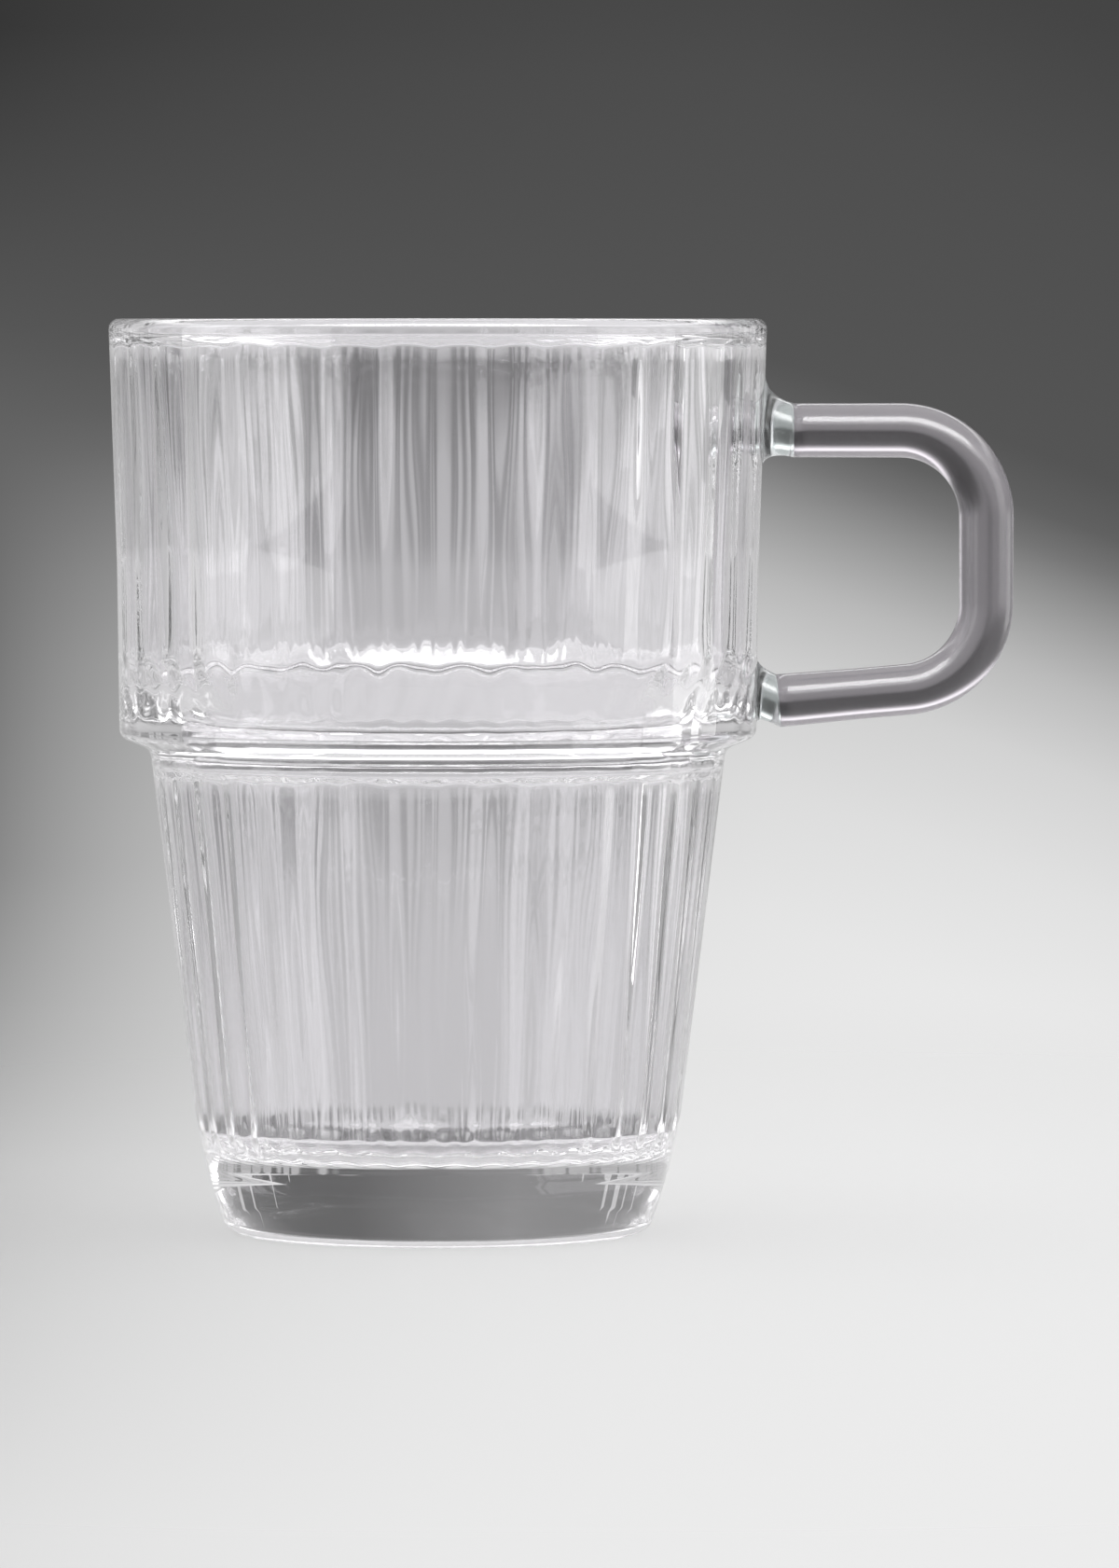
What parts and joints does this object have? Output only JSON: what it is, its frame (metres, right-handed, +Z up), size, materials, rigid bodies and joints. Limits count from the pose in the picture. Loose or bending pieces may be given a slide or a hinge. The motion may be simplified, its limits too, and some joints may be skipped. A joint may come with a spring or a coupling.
{
  "type": "cortado glass",
  "caption": "Clear glass cup with a ribbed inside, a stepped shoulder for stacking, and a bent rod handle fused to one side.",
  "frame": {"origin": "centre of the flat foot, on the bowl's axis, at the surface that the glass stands on", "axes": "+Z up along the bowl's axis, +X towards the handle, -Y towards the viewer of the picture"},
  "size_m": [0.099, 0.072, 0.1],
  "materials": {
    "bowl_glass": "clear pressed glass, fire polished",
    "rod_glass": "clear drawn glass rod, fire polished"
  },
  "bodies": {
    "root": {"bowl": "bowl_glass", "handle": "rod_glass", "upper_weld": "rod_glass", "lower_weld": "rod_glass"}
  },
  "joints": []
}
